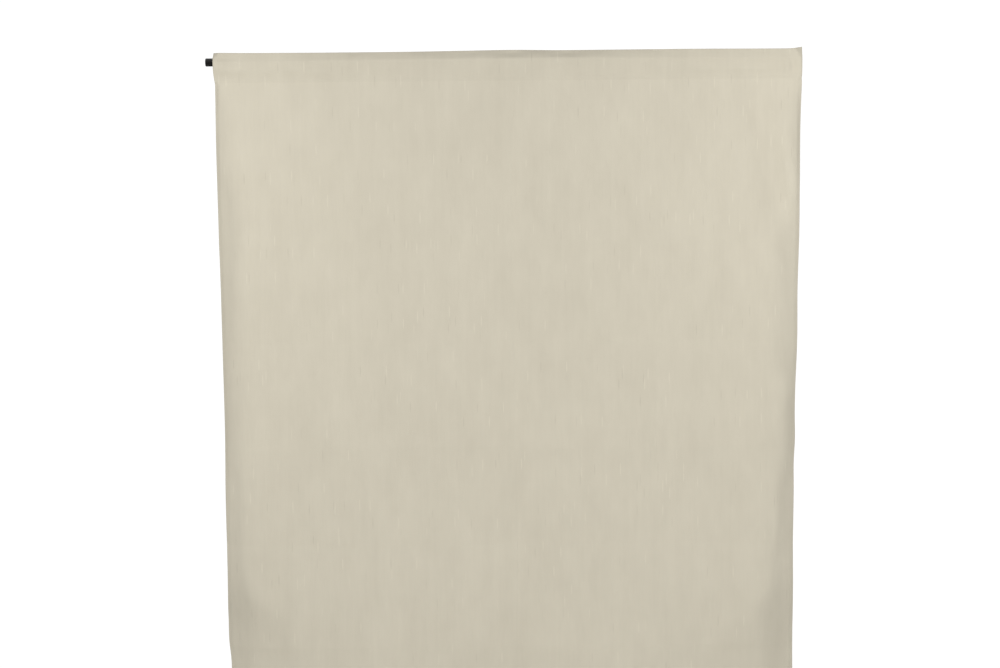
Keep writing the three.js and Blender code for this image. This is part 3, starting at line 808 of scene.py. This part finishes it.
def slub_mask(tree, place, seed):
    """Scattered slubs, each a thicker bit of an upright yarn: up to 1 on them and 0 between."""
    axes = add_node(tree, "ShaderNodeSeparateXYZ", {"Vector": place})
    across = calculate(tree, "MULTIPLY_ADD", axes.outputs["X"], SLUB_PLACES_ACROSS, seed)
    up = calculate(tree, "MULTIPLY", axes.outputs["Z"], SLUB_PLACES_UP)
    flat = add_node(tree, "ShaderNodeCombineXYZ", {"X": across, "Y": up}).outputs[0]
    inputs = {"Vector": flat, "Scale": 1.0}
    spots = add_node(tree, "ShaderNodeTexVoronoi", inputs, voronoi_dimensions="2D").outputs
    inputs = {"Value": spots["Distance"], "From Min": SLUB_EDGE, "From Max": SLUB_MIDDLE}
    near = add_node(tree, "ShaderNodeMapRange", inputs, interpolation_type="SMOOTHSTEP")
    choice = add_node(tree, "ShaderNodeSeparateColor", {"Color": spots["Color"]}).outputs["Red"]
    inputs = {"Value": choice, "From Min": EMPTY_PLACES, "From Max": 1.0}
    chosen = add_node(tree, "ShaderNodeMapRange", inputs)
    return calculate(tree, "MULTIPLY", near.outputs["Result"], chosen.outputs["Result"])


def plain_weave(tree, place):
    """Yarns that cross over and under each other, as a height from -1 to 1."""
    axes = add_node(tree, "ShaderNodeSeparateXYZ", {"Vector": place}).outputs
    turns = [calculate(tree, "MULTIPLY", axes[axis], pi / WEAVE_PITCH) for axis in "XZ"]
    warp, weft = (calculate(tree, "SINE", turn) for turn in turns)
    return calculate(tree, "MULTIPLY", warp, weft)


def linen_material():
    """Matt plain weave with upright slubs, faint streaks and painted shade where it is doubled."""
    material, tree, shader, place = new_material("linen")
    yarns = stretched_noise(tree, place, YARNS["scale"])
    tone = calculate(tree, "MULTIPLY_ADD", yarns, YARNS["tone"], TONE_START)
    for layer in LINEN_NOISES.values():
        patches = stretched_noise(tree, place, layer["scale"], layer["seed"], layer["detail"])
        tone = calculate(tree, "MULTIPLY_ADD", patches, layer["tone"], tone)
    for slubs in SLUBS.values():
        mask = slub_mask(tree, place, slubs["seed"])
        tone = calculate(tree, "MULTIPLY_ADD", mask, slubs["tone"], tone)
    # Painted shade where the cloth is doubled, for less light from behind through two layers
    two_layers = add_node(tree, "ShaderNodeAttribute", attribute_name="doubled").outputs["Fac"]
    shade = calculate(tree, "MULTIPLY", two_layers, DOUBLED_PAINTED_SHADE)
    colour = blend(tree, shade, blend(tree, tone, *LINEN_COLOURS), BLACK)
    height = calculate(tree, "MULTIPLY_ADD", plain_weave(tree, place), WEAVE_HEIGHT, yarns)
    normal = bump(tree, height, strength=0.35, distance=0.0006)
    set_inputs(tree, shader, {"Base Color": colour, "Normal": normal})
    set_inputs(tree, shader, {"Roughness": 0.92, "Specular IOR Level": 0.2, "Sheen Weight": 0.08})
    return material


def thread_material():
    """Twisted sewing thread, a little lighter than the cloth."""
    known = bpy.data.materials.get("thread")
    if known:
        return known
    material, tree, shader, place = new_material("thread")
    inputs = {"Vector": place, "Scale": 700.0, "Distortion": 0.4}
    wave = add_node(tree, "ShaderNodeTexWave", inputs, bands_direction="DIAGONAL")
    twist = wave.outputs["Fac"]
    colour = blend(tree, twist, *THREAD_COLOURS)
    normal = bump(tree, twist, strength=0.5, distance=0.0001)
    set_inputs(tree, shader, {"Base Color": colour, "Normal": normal, "Roughness": 0.7})
    return material


def black_paint_material():
    """Satin black paint on a steel tube, with the faintest orange peel."""
    material, tree, shader, place = new_material("black_paint")
    peel = stretched_noise(tree, place, (900, 900, 900))
    wear = stretched_noise(tree, place, (35, 60, 60), seed=2.0, detail=4.0)
    roughness = calculate(tree, "MULTIPLY_ADD", wear, PAINT_ROUGHNESS_RANGE, PAINT_ROUGHNESS)
    normal = bump(tree, peel, strength=0.12, distance=0.0001)
    set_inputs(tree, shader, {"Base Color": blend(tree, wear, *PAINT_COLOURS), "Normal": normal})
    set_inputs(tree, shader, {"Roughness": roughness, "Specular IOR Level": 0.3})
    return material


def make_camera():
    """The photograph's camera."""
    camera = bpy.data.objects.new("camera", bpy.data.cameras.new("camera"))
    camera.data.lens = CAMERA_LENS
    camera.data.sensor_width = CAMERA_SENSOR
    tilt = Matrix.Rotation(radians(90) + CAMERA_PITCH, 4, "X") @ Matrix.Rotation(CAMERA_ROLL, 4, "Z")
    camera.matrix_world = Matrix.Translation(CAMERA_PLACE) @ tilt
    bpy.context.scene.collection.objects.link(camera)
    bpy.context.scene.camera = camera


def make_lamp(name, place, power, towards):
    """A square softbox that lights the object without being seen, not even in the rod."""
    lamp = bpy.data.objects.new(name, bpy.data.lights.new(name, "AREA"))
    lamp.data.shape = "SQUARE"
    lamp.data.size = LAMP_SIZE
    lamp.data.energy = power
    lamp.matrix_world = Matrix.Translation(place) @ Matrix.Rotation(radians(90 * towards), 4, "X")
    lamp.visible_camera = False
    lamp.visible_glossy = False
    bpy.context.scene.collection.objects.link(lamp)


def facing(tree, direction, axis):
    """How squarely a direction faces along an axis: up to 1, and 0 where it faces away."""
    dot = add_node(tree, "ShaderNodeVectorMath", {0: direction, 1: axis}, operation="DOT_PRODUCT")
    return calculate(tree, "MAXIMUM", dot.outputs["Value"], 0.0)


def mix_shaders(tree, share, first, second):
    """A shader that is the first where the share is 0, and the second where it is 1."""
    return add_node(tree, "ShaderNodeMixShader", {0: share, 1: first, 2: second}).outputs[0]


def make_world():
    """A white studio.

    The camera sees plain white behind the object. Surfaces are lit by a soft light that is strongest
    from the room, and reflect a pale ceiling.
    """
    world = bpy.data.worlds.new("studio")
    world.use_nodes = True
    tree = world.node_tree
    direction = add_node(tree, "ShaderNodeTexCoord").outputs["Generated"]
    from_room, evenly = AMBIENT_FROM_ROOM * AMBIENT, (1 - AMBIENT_FROM_ROOM) * AMBIENT
    ambient = calculate(tree, "MULTIPLY_ADD", facing(tree, direction, (0, -1, 0)), from_room, evenly)
    ceiling = calculate(tree, "MULTIPLY", facing(tree, direction, (0, 0, 1)), REFLECTED_CEILING)
    lit, reflected, seen = (
        add_node(tree, "ShaderNodeBackground", {"Color": WHITE, "Strength": strength}).outputs[0]
        for strength in (ambient, ceiling, BACKDROP)
    )
    ray = add_node(tree, "ShaderNodeLightPath").outputs
    on_object = mix_shaders(tree, ray["Is Glossy Ray"], lit, reflected)
    surface = mix_shaders(tree, ray["Is Camera Ray"], on_object, seen)
    set_inputs(tree, tree.nodes["World Output"], {"Surface": surface})
    bpy.context.scene.world = world


def make_floor():
    """A plain pale floor a little below the hem."""
    material, tree, shader, place = new_material("pale_floor")
    grain = stretched_noise(tree, place, (3, 3, 3))
    set_inputs(tree, shader, {"Base Color": blend(tree, grain, *FLOOR_COLOURS), "Roughness": 0.7})
    turns = np.linspace(0, 2 * pi, FLOOR_SIDES, endpoint=False)
    height = BOTTOM_Z - FLOOR_DROP
    rim = [(FLOOR_RADIUS * np.cos(a), FLOOR_RADIUS * np.sin(a), height) for a in turns]
    floor = mesh_piece("floor", rim, [tuple(range(len(rim)))], material, body=None)


make_camera()
rod = make_rod()
cloth = make_cloth()
stitching = make_stitching()
make_world()
for lamp in LAMPS:
    make_lamp(**lamp)
make_floor()
bpy.context.scene.view_settings.view_transform = "Standard"

bpy.context.view_layer.update()
